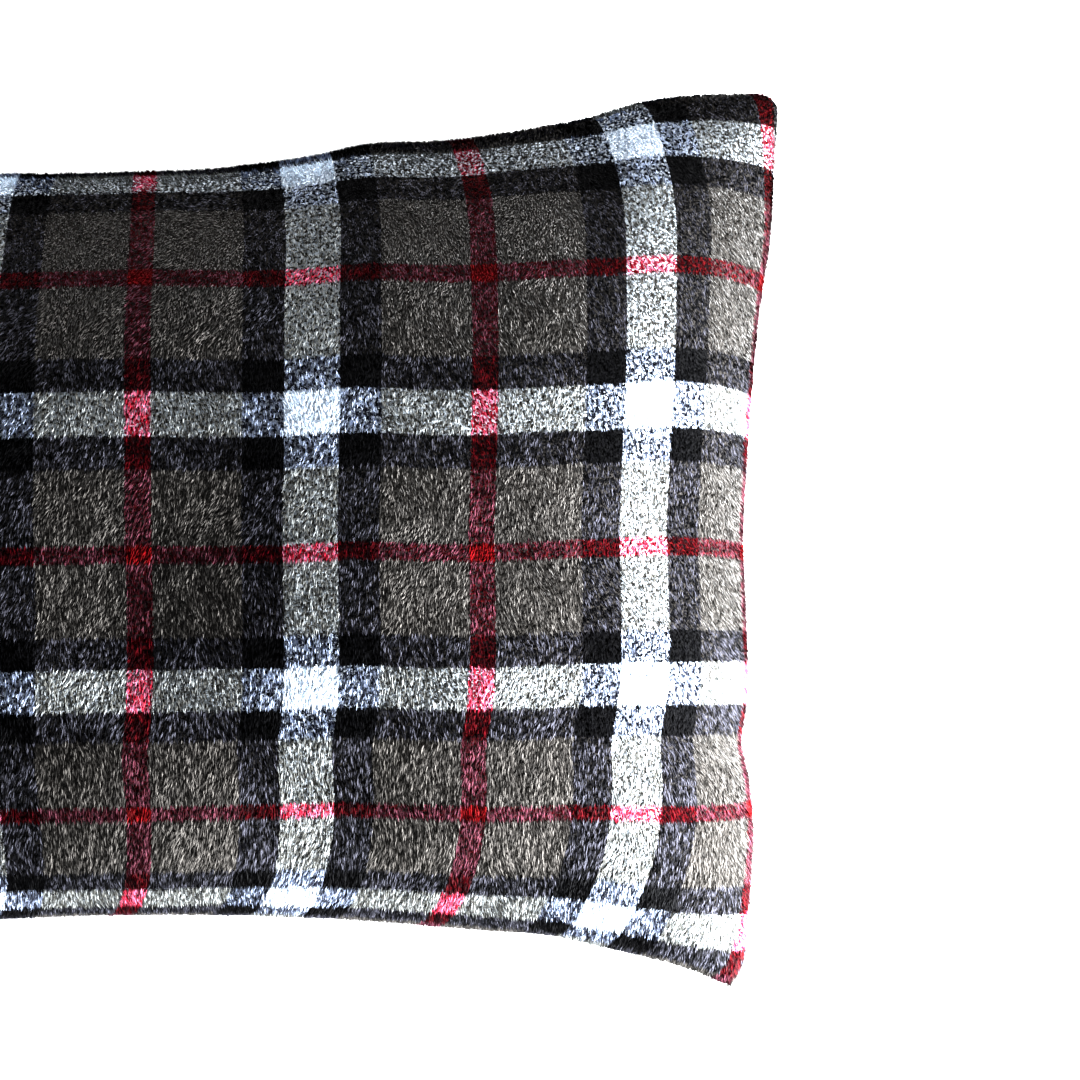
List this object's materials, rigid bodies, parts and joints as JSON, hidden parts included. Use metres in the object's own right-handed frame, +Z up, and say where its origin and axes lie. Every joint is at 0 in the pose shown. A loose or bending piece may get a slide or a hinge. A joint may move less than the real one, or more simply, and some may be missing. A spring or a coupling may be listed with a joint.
{
  "type": "travel neck pillow",
  "caption": "Small rectangular plush travel pillow: tartan pile cover with a zip in one end, over a fibre-filled inner pillow.",
  "frame": {"origin": "centre of the footprint, on the surface that the pillow lies on", "axes": "+X along the pillow to its plain end, the zip end at -X; +Y across it; +Z up through its thickness"},
  "size_m": [0.3842, 0.2936, 0.117],
  "materials": {
    "plush": "short dense polyester pile in a grey, black, white and red tartan",
    "cover_thread": "twisted polyester sewing thread",
    "zip_tape": "woven polyester tape",
    "zip_coil": "moulded polyester coil",
    "zip_metal": "die-cast, gunmetal lacquer",
    "casing": "plain white non-woven casing",
    "casing_thread": "white overlock thread",
    "filling": "lofty hollow-fibre filling",
    "label": "blank white satin"
  },
  "bodies": {
    "pillow": {"cover_front": "plush", "cover_back": "plush", "cover_seam_near_side": "cover_thread", "cover_seam_far_side": "cover_thread", "cover_seam_plain_end": "cover_thread", "cover_seam_zip_end": "cover_thread", "zip_tape_upper": "zip_tape", "zip_tape_lower": "zip_tape", "zip_coil_upper": "zip_coil", "zip_coil_lower": "zip_coil", "zip_stitches_upper": "cover_thread", "zip_stitches_lower": "cover_thread", "zip_top_stops": "zip_metal", "zip_bottom_stop": "zip_metal", "inner_casing_front": "casing", "inner_casing_back": "casing", "inner_casing_seam": "casing_thread", "fibre_fill": "filling", "care_label": "label"},
    "slider": {"zip_slider": "zip_metal"},
    "pull": {"zip_pull": "zip_metal"}
  },
  "joints": [
    {"name": "zip_slide", "type": "slide", "parent": "pillow", "child": "slider", "axis": [0, 1, 0], "range_m": [0, 0.197]},
    {"name": "pull_swing", "type": "hinge", "parent": "slider", "child": "pull", "pos_m": [-0.1883, -0.102, 0.054], "axis": [0, 0, 1], "range_deg": [0, 165]}
  ]
}
